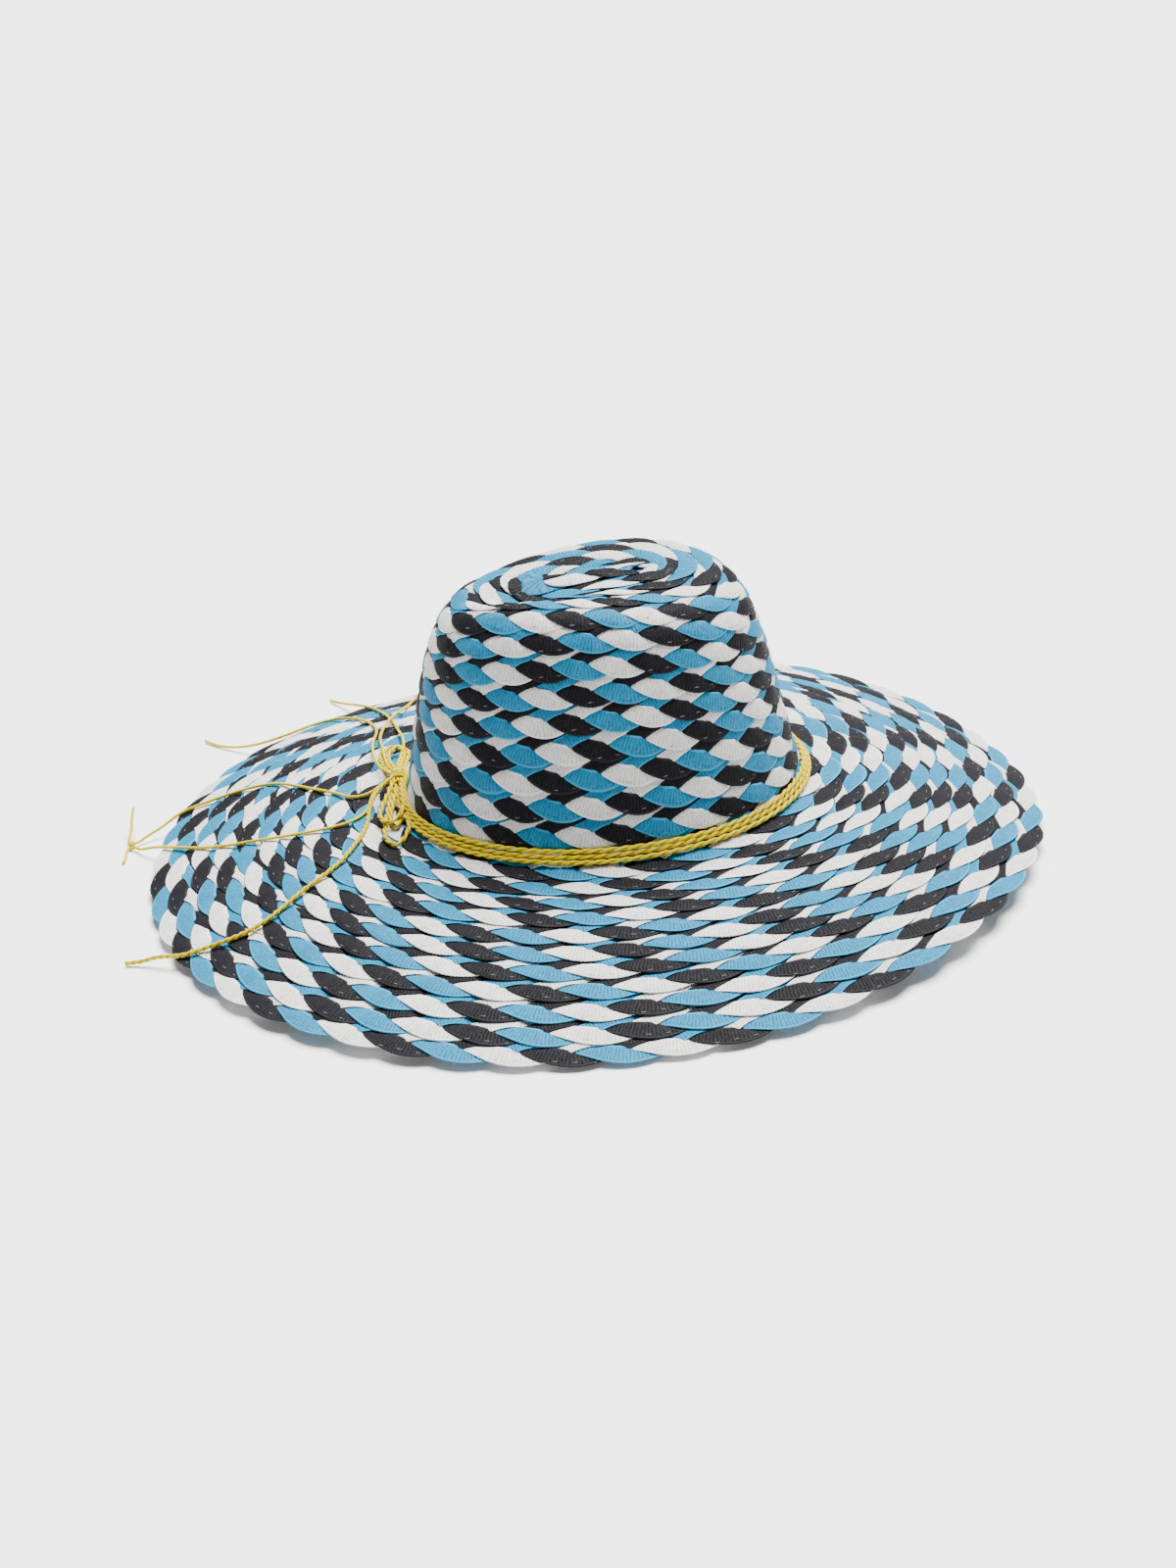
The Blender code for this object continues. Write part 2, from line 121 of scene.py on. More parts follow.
class NaturalCurve:
    """A smooth curve through rows of values at stations.

    Between two stations it is a cubic, its bend is the same on both sides of each station, and its
    bend is zero at both ends.
    """

    def __init__(self, table: Array) -> None:
        """Finds the bend at each station.

        Args:
            table: For each station its place, which rises, and then its values.
        """
        table = np.asarray(table, float)
        self.stations, self.values = table[:, 0], table[:, 1:]
        step = np.diff(self.stations)
        inner = np.arange(1, len(table) - 1)
        system = np.eye(len(table))
        system[inner, inner - 1] = step[:-1]
        system[inner, inner] = 2.0 * (step[:-1] + step[1:])
        system[inner, inner + 1] = step[1:]
        right = np.zeros_like(self.values)
        right[1:-1] = 6.0 * np.diff(np.diff(self.values, axis=0) / step[:, None], axis=0)
        self.bend = np.linalg.solve(system, right)

    def __call__(self, wanted: Array) -> Array:
        """Reads the curve.

        Args:
            wanted: Places to read it at.

        Returns:
            The row of values at each place.
        """
        wanted = np.asarray(wanted, float)
        at = np.clip(np.searchsorted(self.stations, wanted) - 1, 0, len(self.stations) - 2)
        along = (wanted - self.stations[at])[..., None]
        width = (self.stations[at + 1] - self.stations[at])[..., None]
        low, high = self.values[at], self.values[at + 1]
        low_bend, high_bend = self.bend[at], self.bend[at + 1]
        slope = (high - low) / width - width * (2.0 * low_bend + high_bend) / 6.0
        growth = (high_bend - low_bend) / (6.0 * width)
        return low + slope * along + low_bend / 2.0 * along**2 + growth * along**3


def unit(vectors: Array) -> Array:
    """Vectors divided by their own lengths."""
    return vectors / np.maximum(np.linalg.norm(vectors, axis=-1, keepdims=True), 1e-12)


def run_along(line: Array) -> Array:
    """Distance along a line of points, at each of them."""
    return np.concatenate([[0.0], np.cumsum(np.linalg.norm(np.diff(line, axis=0), axis=1))])


def round_about(aside: Array, above: Array, angle: Array) -> Array:
    """Directions round a line: aside times the angle's cosine and above times its sine."""
    return np.cos(angle)[..., None] * aside + np.sin(angle)[..., None] * above


def even_line(route: Array, spacing: float, closed: bool = False) -> Array:
    """Points at an even spacing along the smooth curve through a route.

    Args:
        route: Points of the route.
        spacing: Distance between the new points.
        closed: Whether the last point leads back to the first.

    Returns:
        The new points.
    """
    if closed:
        route = np.vstack([route[-3:], route, route[:4]])
    chord = run_along(route)
    start, end = (chord[3], chord[-4]) if closed else (0.0, chord[-1])
    fine = NaturalCurve(np.column_stack([chord, route]))(np.linspace(start, end, FINE_POINTS))
    run = run_along(fine)
    wanted = np.linspace(0.0, run[-1], max(3, round(run[-1] / spacing) + 1))
    even = np.stack([np.interp(wanted, run, fine[:, axis]) for axis in range(3)], -1)
    return even[:-1] if closed else even


def add_object(name: str, data: bpy.types.ID, pose: Array | None = None) -> Piece:
    """Makes an object of some data and links it to the scene.

    Args:
        name: The object's name.
        data: Its mesh, camera or light.
        pose: Its three axes and its place as four columns, or none for one at the origin.

    Returns:
        The object.
    """
    made = bpy.data.objects.new(name, data)
    if pose is not None:
        made.matrix_world = Matrix([*pose.tolist(), (0.0, 0.0, 0.0, 1.0)])
    bpy.context.scene.collection.objects.link(made)
    return made


@dataclass
class HatForm:
    """The straw's outer face, as a function of the row of plait and the angle round the head."""

    head_half_length: float = 0.105
    head_half_depth: float = 0.0888
    head_line_height: float = 0.0328
    crown_height: float = 0.121
    crown_shift: float = 0.013
    brim_width: float = 0.1325
    brim_drop: float = 0.0275
    edge_wave: float = 0.002
    wave_power: float = 1.5
    dent_depth: float = 0.008
    dent_half_length: float = 0.034
    dent_half_width: float = 0.012
    dent_x: float = -0.022
    dent_y: float = -0.016
    dent_row: float = 4.2
    dent_fade: float = 1.5
    head_row: float = 12.86
    wave_row: float = 13.5
    edge_row: float = 24.5
    edge_margin: float = 0.4
    probe_row: float = 0.01
    probe_angle: float = 0.002
    halvings: int = 40

    def __post_init__(self) -> None:
        """Turns the two tables of shares into one curve of real sizes."""
        half_length, half_depth, high = self.head_half_length, self.head_half_depth, self.crown_height
        crown = np.array(CROWN_FORM) * (1.0, half_length, half_depth, self.crown_shift, *[high] * 4)
        row, out, drop, shift = np.array(BRIM_FORM).T
        brim = np.zeros((len(row), crown.shape[1]))
        brim[:, 0], brim[:, 3], brim[:, 4] = row, shift * self.crown_shift, -drop * self.brim_drop
        brim[:, 1:3] = np.array([half_length, half_depth]) + (out * self.brim_width)[:, None]
        self.sections = NaturalCurve(np.vstack([crown, brim]))

    def face(self, row: Array, angle: Array) -> Array:
        """Points of the outer face.

        Each row is an ellipse round the head. Its height adds a saddle, a twist and a lean that go
        round with the angle, waves that grow to the brim's edge, and one oval dent in the top.

        Args:
            row: Rows of plait, from 0 in the middle of the top to the edge row.
            angle: Angles round the head.

        Returns:
            The points, x, y and z last.
        """
        row, angle = np.broadcast_arrays(np.asarray(row, float), np.asarray(angle, float))
        half_length, half_depth, shift, height, saddle, twist, lean = np.moveaxis(self.sections(row), -1, 0)
        x = shift + half_length * np.cos(angle)
        y = half_depth * np.sin(angle)
        tilts = saddle * np.cos(2 * angle) + twist * np.sin(2 * angle) + lean * np.sin(angle)
        z = self.head_line_height + height + tilts
        out = np.clip((row - self.wave_row) / (self.edge_row - self.wave_row), 0.0, 1.0) ** self.wave_power
        for waves, cosine, sine in EDGE_WAVES:
            z = z + self.edge_wave * out * (cosine * np.cos(waves * angle) + sine * np.sin(waves * angle))
        dented = np.clip((self.dent_row - row) / self.dent_fade, 0.0, 1.0)
        dented = dented * dented * (3.0 - 2.0 * dented)
        along = (x - self.dent_x) / self.dent_half_length
        across = (y - self.dent_y) / self.dent_half_width
        z = z - self.dent_depth * dented * np.exp(-along * along - across * across)
        return np.stack([x, y, z], -1)

    def off_face(self, row: Array, angle: Array, lift: Array) -> Array:
        """Points at a height over the face.

        The way out of the face is the cross product of its two slopes.

        Args:
            row: Rows of plait. One under 0 has crossed the middle line of the top.
            angle: Angles round the head.
            lift: Heights over the face.

        Returns:
            The points.
        """
        angle = np.where(row < 0.0, -angle, angle)
        row = np.abs(row)
        near = np.maximum(row, 2.0 * self.probe_row)
        down = self.face(near + self.probe_row, angle) - self.face(near - self.probe_row, angle)
        round_head = self.face(near, angle + self.probe_angle) - self.face(near, angle - self.probe_angle)
        return self.face(row, angle) + np.asarray(lift)[..., None] * unit(np.cross(down, round_head))

    def height_over(self, x: Array, y: Array) -> Array:
        """Heights of the brim's face over points of the floor.

        The row over a point is found by halving the rows between the head line and the edge, toward
        the row whose ellipse the point lies on.

        Args:
            x: Places along the head.
            y: Places across it.

        Returns:
            The heights, or 0 beyond the brim's edge.
        """
        low, high = np.full(x.shape, self.head_row), np.full(x.shape, self.edge_row + self.edge_margin)
        for _ in range(self.halvings):
            row = 0.5 * (low + high)
            half_length, half_depth, shift = np.moveaxis(self.sections(row), -1, 0)[:3]
            ahead, aside = (x - shift) / half_length, y / half_depth
            outside = ahead**2 + aside**2 > 1.0
            low, high = np.where(outside, row, low), np.where(outside, high, row)
        return np.where(row > self.edge_row, 0.0, self.face(row, np.arctan2(aside, ahead))[..., 2])


@dataclass
class Tube:
    """Rings of points that make one closed tube, with how far along and across each point lies."""

    rings: Array
    along: Array
    across: Array
    joined: bool = False

    def outward(self) -> Tube:
        """The tube with its faces outward.

        The sum of each ring's area times the step to the next ring is the volume that the faces
        enclose. It is under 0 where they look inward.

        Returns:
            This tube, or one with its sides in the other order.
        """
        middle = self.rings.mean(1, keepdims=True)
        around = self.rings - middle
        area = np.cross(around, np.roll(around, -1, 1)).sum(1)
        if (area[:-1] * np.diff(middle[:, 0], axis=0)).sum() >= 0.0:
            return self
        return Tube(self.rings[:, ::-1], self.along[:, ::-1], self.across[:, ::-1], self.joined)

    def faces(self, first: int) -> list[list[int]]:
        """Quads between neighbouring rings, and the two end caps of an open tube.

        Args:
            first: Number of the tube's first vertex in its mesh.

        Returns:
            The vertices of each face.
        """
        rings, sides = self.along.shape
        ring = np.arange(rings if self.joined else rings - 1)[:, None]
        side = np.arange(sides)
        here, ahead = first + ring * sides, first + (ring + 1) % rings * sides
        beside = (side + 1) % sides
        quads = np.stack([here + side, here + beside, ahead + beside, ahead + side], -1)
        last = first + (rings - 1) * sides
        caps = [range(first + sides - 1, first - 1, -1), range(last, last + sides)]
        return quads.reshape(-1, 4).tolist() + ([] if self.joined else [list(cap) for cap in caps])


def tube_piece(name: str, tubes: list[Tube], material: Material, slot: str, *nodes: str) -> Piece:
    """Puts tubes in one piece with a UV map of centimetres along and across.

    Args:
        name: The piece's name.
        tubes: The tubes.
        material: The finish of all of them.
        slot: Not used.
        nodes: The solids that the piece stands for.

    Returns:
        The piece, at the origin.
    """
    tubes = [tube.outward() for tube in tubes]
    points = np.concatenate([tube.rings.reshape(-1, 3) for tube in tubes])
    flat = [np.stack([tube.along, tube.across], -1).reshape(-1, 2) for tube in tubes]
    faces, first = [], 0
    for tube in tubes:
        faces += tube.faces(first)
        first += tube.along.size
    mesh = bpy.data.meshes.new(name)
    mesh.from_pydata(points.tolist(), [], faces)
    corners = np.empty(len(mesh.loops), np.int32)
    mesh.loops.foreach_get("vertex_index", corners)
    uv = 100.0 * np.concatenate(flat)[corners]
    mesh.uv_layers.new(name="strand").data.foreach_set("uv", uv.astype(np.float32).ravel())
    mesh.shade_smooth()
    mesh.validate()
    mesh.materials.append(material)
    piece = add_object(name, mesh)
    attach(piece, "root")
    if nodes:
        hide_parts(*nodes)
    return piece


@dataclass
class Signal:
    """One output socket of a material, usable in sums and products with numbers and other signals."""

    tree: ShaderTree
    socket: bpy.types.NodeSocket

    def _math(self, operation: str, first: Signal | float, second: Signal | float = 0.0) -> Signal:
        """A Math node on two values."""
        return self.tree.node("Math", {"operation": operation}, {0: first, 1: second}, "Value")

    def __add__(self, other: Signal | float) -> Signal:
        """This plus other."""
        return self._math("ADD", self, other)

    __radd__ = __add__

    def __sub__(self, other: Signal | float) -> Signal:
        """This minus other."""
        return self._math("SUBTRACT", self, other)

    def __rsub__(self, other: Signal | float) -> Signal:
        """Other minus this."""
        return self._math("SUBTRACT", other, self)

    def __mul__(self, other: Signal | float) -> Signal:
        """This times other."""
        return self._math("MULTIPLY", self, other)

    __rmul__ = __mul__

    def sine(self) -> Signal:
        """The sine of this, in radians."""
        return self._math("SINE", self)

    def absolute(self) -> Signal:
        """This without its sign."""
        return self._math("ABSOLUTE", self)

    def between(self, low: float, high: float) -> Signal:
        """A smooth step: 0 where this is at or under low, and 1 where it is at or over high."""
        values = {"Value": self, "From Min": low, "From Max": high, "To Min": 0.0, "To Max": 1.0}
        return self.tree.node("MapRange", {"interpolation_type": "SMOOTHSTEP"}, values, "Result")


class ShaderTree:
    """The nodes of one material."""

    def __init__(self, name: str) -> None:
        """Makes a material with one Principled surface.

        Args:
            name: The material's name.
        """
        self.material = bpy.data.materials.new(name)
        self.material.use_nodes = True
        self.nodes = self.material.node_tree.nodes
        self.surface = self.nodes["Principled BSDF"]

    def node(self, kind: str, settings: dict, values: dict, output: str | int) -> Signal:
        """Adds a node.

        Args:
            kind: The node's type, after its ShaderNode.
            settings: The node's own properties, set first.
            values: Numbers, colours or signals for its inputs, by name or number.
            output: Which output to use.

        Returns:
            The output as a signal.
        """
        made = self.nodes.new("ShaderNode" + kind)
        for name, value in settings.items():
            setattr(made, name, value)
        for key, value in values.items():
            self.feed(made.inputs[key], value)
        return Signal(self, made.outputs[output])

    def feed(self, socket: bpy.types.NodeSocket, value: Signal | float | Colour) -> None:
        """Links a signal to an input, or sets the input's own value.

        Args:
            socket: The input.
            value: The signal, number, vector or colour.
        """
        if isinstance(value, Signal):
            self.material.node_tree.links.new(value.socket, socket)
        elif socket.type == "RGBA":
            socket.default_value = (*value, 1.0)
        else:
            socket.default_value = value

    def mix(self, share: Signal | float, low: Signal | Colour, high: Signal | Colour) -> Signal:
        """A colour between two colours: low at share 0 and high at share 1."""
        settings = {"data_type": "RGBA", "clamp_factor": True}
        return self.node("Mix", settings, {0: share, 6: low, 7: high}, 2)

    def place(self) -> list[Signal]:
        """The map of centimetres along and across, as a vector and as its two parts."""
        vector = self.node("UVMap", {"uv_map": "strand"}, {}, "UV")
        return [vector, *(self.node("SeparateXYZ", {}, {0: vector}, part) for part in "XY")]

    def noise(self, where: Signal, scale: float, detail: float = 2.0, stretch: Three = (1, 1, 1)) -> Signal:
        """Soft noise on a vector.

        Args:
            where: The vector.
            scale: Waves to a unit of the vector.
            detail: How many finer noises are added.
            stretch: What the vector's parts are multiplied by first.

        Returns:
            The noise, from 0 to 1 about one half.
        """
        stretched = self.node("VectorMath", {"operation": "MULTIPLY"}, {0: where, 1: stretch}, 0)
        values = {"Vector": stretched, "Scale": scale, "Detail": detail, "Roughness": 0.55}
        return self.node("TexNoise", {"noise_dimensions": "3D"}, values, "Fac")

    def finish(self, inputs: dict, height: Signal, depth: float) -> Material:
        """Feeds the surface its inputs and its bump.

        Args:
            inputs: Signals or constants of the surface, by name.
            height: Bump height, from 0 to 1.
            depth: What a height of 1 stands for, in metres.

        Returns:
            The material.
        """
        values = {"Strength": 1.0, "Distance": depth, "Height": height}
        bump = self.node("Bump", {}, values, "Normal")
        for name, value in {**inputs, "Normal": bump}.items():
            self.feed(self.surface.inputs[name], value)
        return self.material


@dataclass(frozen=True)
class StrawFinish:
    """Flat paper straw: fine ribs across the strand, small flecks, and a slow change of tone, with painted
    shade in the rib valleys and painted highlight on the rib tops and the rims.
    """

    name: str
    colour: Colour
    shade: Colour
    light: Colour
    rib_pitch_cm: float = 0.165
    rib_bend_cm: float = 0.2
    rib_depth: float = 0.00026
    flat_half_cm: float = 0.31
    full_half_cm: float = 0.37
    roughness: float = 0.6
    # Strength of the painted shade in the rib valleys.
    valley_shade_tone: float = 0.8
    # Strength of the paler flecks on the rib tops, partly random fibres and partly painted highlight.
    fleck_and_highlight_tone: float = 0.45
    # Strength of the painted highlight on the strands' rims.
    rim_highlight_tone: float = 0.55
    shine: float = 0.22

    def make(self) -> Material:
        """Makes the material.

        The ribs are a sine of the distance along the strand, bent by noise. They come in patches and end
        before the smooth rims. Their valleys take the shade colour as painted shade. Flecks on their tops
        take the light colour, partly as paler fibres and partly as a painted highlight on the rib crests. The
        rims take the light colour as a painted highlight, and slow noise moves the whole tone.

        Returns:
            The material.
        """
        tree = ShaderTree(self.name)
        where, along, across = tree.place()
        # The rim band along each strand's edges takes a painted highlight of the light colour.
        rim = across.absolute().between(self.flat_half_cm, self.full_half_cm)
        bent = along + tree.noise(where, 3.0) * self.rib_bend_cm
        ribs = (bent * (FULL_TURN / self.rib_pitch_cm)).sine() * 0.5 + 0.5
        crimp = tree.noise(where, 7.0, 2.0, (1.6, 0.8, 1.0)).between(0.30, 0.60) * (1.0 - rim)
        valley = (1.0 - ribs) * crimp
        fibres = tree.noise(where, 22.0, 2.0, (0.5, 1.6, 1.0))
        tone = tree.noise(where, 0.8, 3.0).between(0.28, 0.72)
        base = tree.mix(tone * 0.35, self.colour, self.shade)
        # Painted shade: the rib valleys are darkened toward the shade colour.
        valley_shaded = tree.mix(valley * self.valley_shade_tone, base, self.shade)
        # Paler flecks only on the rib crests: partly random fibres, partly a painted highlight where the
        # crests catch light.
        flecks_and_rib_highlight = (ribs * crimp * fibres).between(0.40, 0.62)
        flecked_and_highlighted = tree.mix(flecks_and_rib_highlight * self.fleck_and_highlight_tone + rim * self.rim_highlight_tone, valley_shaded, self.light)
        height = 1.0 - valley + fibres * 0.45
        rough = valley * 0.15 + self.roughness
        inputs = {"Base Color": flecked_and_highlighted, "Roughness": rough, "Specular IOR Level": self.shine}
        return tree.finish(inputs, height, self.rib_depth)


@dataclass(frozen=True)
class CordFinish:
    """Twisted paper cord: fine fibres along the twist, a slow change of tone, and painted shade of darker
    gold in the grooves between its plies.
    """

    name: str
    colour: Colour
    shade: Colour
    light: Colour
    groove_shade: Colour
    groove_shade_range: tuple[float, float] = (-0.45, 0.40)
    roughness: float = 0.55
    fibre_depth: float = 0.0001
    shine: float = 0.12

    def make(self) -> Material:
        """Makes the material: fine noise gives fibres, slow noise the tone, and the grooves between plies
        take a painted shade.

        Returns:
            The material.
        """
        tree = ShaderTree(self.name)
        where, _, outward = tree.place()
        fibres = tree.noise(where, 30.0, 2.0, (0.30, 0.30, 1.0))
        folds = tree.noise(where, 4.0, 2.0, (1.0, 0.30, 1.0))
        base = tree.mix(folds.between(0.35, 0.70) * 0.6, self.colour, self.shade)
        # Painted shade: the side of each ply that faces the groove takes the dark groove colour.
        groove_shaded = tree.mix(outward.between(*self.groove_shade_range), self.groove_shade, base)
        lit = tree.mix(fibres.between(0.50, 0.70) * 0.4, groove_shaded, self.light)
        rough = fibres * 0.15 + self.roughness
        inputs = {"Base Color": lit, "Roughness": rough, "Specular IOR Level": self.shine}
        return tree.finish(inputs, fibres, self.fibre_depth)


@dataclass(frozen=True)
class PlainFinish:
    """One even finish with a little noise in its tone, for thread and the floor."""

    name: str
    colour: Colour
    shade: Colour
    roughness: float
    noise_scale: float
    glow: float = 0.0
    bump_depth: float = 0.00002

    def make(self) -> Material:
        """Makes the material on Object coordinates.

        Returns:
            The material.
        """
        tree = ShaderTree(self.name)
        tone = tree.noise(tree.node("TexCoord", {}, {}, "Object"), self.noise_scale)
        inputs = {"Base Color": tree.mix(tone, self.colour, self.shade), "Roughness": self.roughness}
        inputs |= {"Emission Color": (1.0, 1.0, 1.0), "Emission Strength": self.glow}
        return tree.finish(inputs, tone, self.bump_depth)


# Colours are given as colour, shade and light, and for the cord the painted shade of its grooves. The straw's
# shade is also painted into its rib valleys, and its light on rib tops and rims as painted highlight.
STRAW_FINISHES = {
    Strand.BLUE: StrawFinish("blue_paper_straw", (0, 0.205, 0.378), (0, 0.088, 0.182), (0.045, 0.36, 0.56)),
    Strand.BLACK: StrawFinish(
        "black_paper_straw",
        (0.008, 0.0076, 0.0105),
        (0.0025, 0.0025, 0.0035),
        (0.048, 0.048, 0.058),
        # The black straw takes a weaker painted rim highlight.
        rim_highlight_tone=0.22,
        shine=0.1,
    ),
    Strand.WHITE: StrawFinish(
        "white_paper_straw", (0.78, 0.768, 0.742), (0.42, 0.4, 0.36), (0.88, 0.878, 0.865)
    ),
}
CORD_FINISH = CordFinish(
    "yellow_paper_cord", (0.65, 0.505, 0.0), (0.52, 0.38, 0.0), (0.74, 0.6, 0.0), (0.3, 0.19, 0.0)
)
THREAD_FINISH = PlainFinish("pale_thread", (0.24, 0.26, 0.26), (0.16, 0.18, 0.18), 0.7, 900.0)
FLOOR_FINISH = PlainFinish("pale_floor", (0.93, 0.93, 0.93), (0.92, 0.92, 0.92), 0.9, 3.0, 0.1)


@dataclass
class PlaitPath:
    """The middle line of the plait: a spiral round the head that starts on the crown's top.

    The turn number grows by one each time round. At a whole number the plait is at the front.
    """

    form: HatForm
    first_turn: float = -0.17
    last_turn: float = 24.62
    samples: int = 18000
    half_step_rows: float = 0.05
    opening_rows: float = 0.65
    opening_fade: float = 1.02
    least_row_width: float = 0.006
    most_skew: float = 0.6

    def __post_init__(self) -> None:
        """Samples the line, its length, and how wide and how slanted a row is there."""
        self.shifts = NaturalCurve(ROW_SHIFTS)
        self.sizes = NaturalCurve(np.array(PLAIT_SIZES) / (1.0, 1000.0, 1000.0, 1000.0))
        self.turns = np.linspace(self.first_turn, self.last_turn, self.samples)
        self.rows = self.row_at(self.turns)
        angle = self.angle_at(self.turns)
        line = self.form.off_face(self.rows, angle, np.zeros_like(angle))
        self.lengths = run_along(line)
        ahead = unit(np.gradient(line, axis=0))
        outer, inner = self.rows + self.half_step_rows, np.maximum(self.rows - self.half_step_rows, 0.0)
        spread = (self.form.face(outer, angle) - self.form.face(inner, angle)) / (outer - inner)[:, None]
        slip = (spread * ahead).sum(-1)
        straight = np.linalg.norm(spread - slip[:, None] * ahead, axis=-1)
        self.row_width = np.maximum(straight, self.least_row_width)
        self.skew = np.clip(slip / self.row_width, -self.most_skew, self.most_skew)

    def row_at(self, turn: Array) -> Array:
        """Row of plait at a turn: an even spiral, wider apart behind its start, and its own shifts.

        Args:
            turn: Turns.

        Returns:
            The row at each turn.
        """
        turn = np.maximum(turn, 0.0)
        opening = self.opening_rows * np.exp(-turn / self.opening_fade) * np.sin(math.pi * turn) ** 2
        return turn + opening + self.shifts(turn)[..., 0]

    def angle_at(self, turn: Array) -> Array:
        """Angle round the head at a turn: it starts at the front and goes round by the left."""
        return -0.25 * FULL_TURN - FULL_TURN * turn

    def at_turn(self, turn: float) -> float:
        """Distance along the plait at a turn."""
        return float(np.interp(turn, self.turns, self.lengths))

    def sizes_at(self, along: Array) -> Array:
        """Leaf length, and sway and half width of a strand, at distances along the plait."""
        return np.moveaxis(self.sizes(np.interp(along, self.lengths, self.turns)), -1, 0)

    def lay(self, along: Array, across: Array, lift: Array) -> Array:
        """Points of the plait laid on the hat.

        A point goes along the spiral's middle line, then out across the row by its distance over the
        row's width, and then off the face by its lift.

        Args:
            along: Distances along the plait.
            across: Distances across it, outward.
            lift: Heights over the hat's face.

        Returns:
            The points.
        """
        slid = along - across * np.interp(along, self.lengths, self.skew)
        samples = (self.turns, self.rows, self.row_width)
        turn, row, width = (np.interp(slid, self.lengths, sample) for sample in samples)
        return self.form.off_face(row + across / width, self.angle_at(turn), lift)


@dataclass
class Plait:
    """Three flat strands woven as a plait.

    A strand sways across the plait as a cosine of its phase, over its neighbours on the way in and
    under them on the way back. The next strand follows it by a third of a turn of the phase.
    """

    path: PlaitPath
    thickness: float = 0.001
    edge_share: float = 0.45
    over: float = 0.0006
    roll: float = 0.00034
    row_lap: float = 0.0011
    sink: float = 0.0006
    lead: float = math.radians(30.0)
    spread: float = 0.27
    rings_per_leaf: int = 9
    tuck: float = 0.0012
    tuck_turns: tuple[float, float] = (24.30, 24.60)
    sections: tuple[float, ...] = (-1.0, -0.86, -0.45, 0.0, 0.45, 0.86, 1.0, 0.86, 0.45, 0.0, -0.45, -0.86)
    seen_half: float = 0.97

    def __post_init__(self) -> None:
        """Counts the leaves along the plait, so that the front shows the colours of the table.

        Between two turns of the table the count is the one nearest to length over leaf length that
        brings the right colour to the front.
        """
        turns, counts = [FRONT_LEAVES[0][0]], [FRONT_LEAVES[0][1]]
        for turn, leaf in FRONT_LEAVES[1:]:
            natural = counts[-1] + self.natural_count(turns[-1], turn)
            counts.append(leaf + 3.0 * round((natural - leaf) / 3.0))
            turns.append(turn)
        first, last = self.path.first_turn, self.path.last_turn
        counts.insert(0, counts[0] - self.natural_count(first, turns[0]))
        counts.append(counts[-1] + self.natural_count(turns[-1], last))
        stations = [self.path.at_turn(turn) for turn in (first, *turns, last)]
        self.leaves = NaturalCurve(np.column_stack([stations, counts]))

    def natural_count(self, first: float, last: float) -> float:
        """Leaves between two turns at the plait's natural leaf length."""
        leaf = self.path.sizes(0.5 * (first + last))[0]
        return (self.path.at_turn(last) - self.path.at_turn(first)) / float(leaf)

    def phase(self, strand: Strand, along: Array) -> Array:
        """Phase of a strand at a distance along the plait: one full turn in three leaves."""
        return FULL_TURN * (self.leaves(along)[..., 0] - strand.value) / 3.0 + self.lead

    def half_width(self, half: Array, phase: Array) -> Array:
        """Half width of a strand: it spreads at the plait's outer edge, as the cosine of its phase."""
        return half * (1.0 + self.spread * np.cos(phase))

    def half_skin(self, side: Array) -> Array:
        """Half a strand's thickness at a place across it: it falls to the edge share at the edges."""
        return 0.5 * self.thickness * (1.0 - (1.0 - self.edge_share) * side**2)

    def lift(self, along: Array, phase: Array, side: Array, skin: Array, share: Array) -> Array:
        """Height of a strand's point over the hat's face.

        The plait's middle is sunk under the face, and each row tilted so that its outer edge lies
        over the next one. The strand goes over and under as the sine of twice its phase, and rolls as
        the sine of three times its phase. The plait's last end is tucked under the turn above it.

        Args:
            along: Distances along the plait.
            phase: The strand's phase.
            side: Places across the strand, from -1 to 1.
            skin: Heights off the strand's middle.
            share: Distances across the plait, as shares of its half width.

        Returns:
            The heights.
        """
        woven = self.over * np.sin(2.0 * phase) - self.roll * side * np.sin(3.0 * phase)
        low, high = (self.path.at_turn(turn) for turn in self.tuck_turns)
        tucked = np.clip((along - low) / (high - low), 0.0, 1.0)
        return -self.sink - self.tuck * tucked + self.row_lap * share + woven + skin

    def strand(self, strand: Strand, start: float, end: float) -> Tube:
        """One strand between two distances along the plait.

        Its section is crowned above and below, and closed to an edge at both sides.

        Args:
            strand: Which of the three.
            start: Where it begins.
            end: Where it ends.

        Returns:
            The strand as a tube of rings.
        """
        counts = self.leaves(self.path.lengths)[..., 0]
        low, high = np.interp([start, end], self.path.lengths, counts)
        wanted = np.linspace(low, high, int((high - low) * self.rings_per_leaf) + 1)
        along = np.interp(wanted, counts, self.path.lengths)
        _, sway, even = self.path.sizes_at(along)
        phase = self.phase(strand, along)
        half = self.half_width(even, phase)
        swing = sway * np.cos(phase)
        lean = np.arctan(np.gradient(swing, along))
        side = np.array(self.sections)
        skin = np.where(np.abs(side) == 1.0, 0.0, self.half_skin(side))
        skin[len(side) // 2 + 1 :] *= -1.0
        across = swing[:, None] + side * (half * np.cos(lean))[:, None]
        beside = along[:, None] - side * (half * np.sin(lean))[:, None]
        lift = self.lift(along[:, None], phase[:, None], side, skin, across / (sway + even)[:, None])
        run = np.concatenate([[0.0], np.cumsum(np.diff(along) / np.cos(0.5 * (lean[1:] + lean[:-1])))])
        run_across = np.broadcast_to(run[:, None], across.shape)
        return Tube(self.path.lay(beside, across, lift), run_across, side * even[:, None])

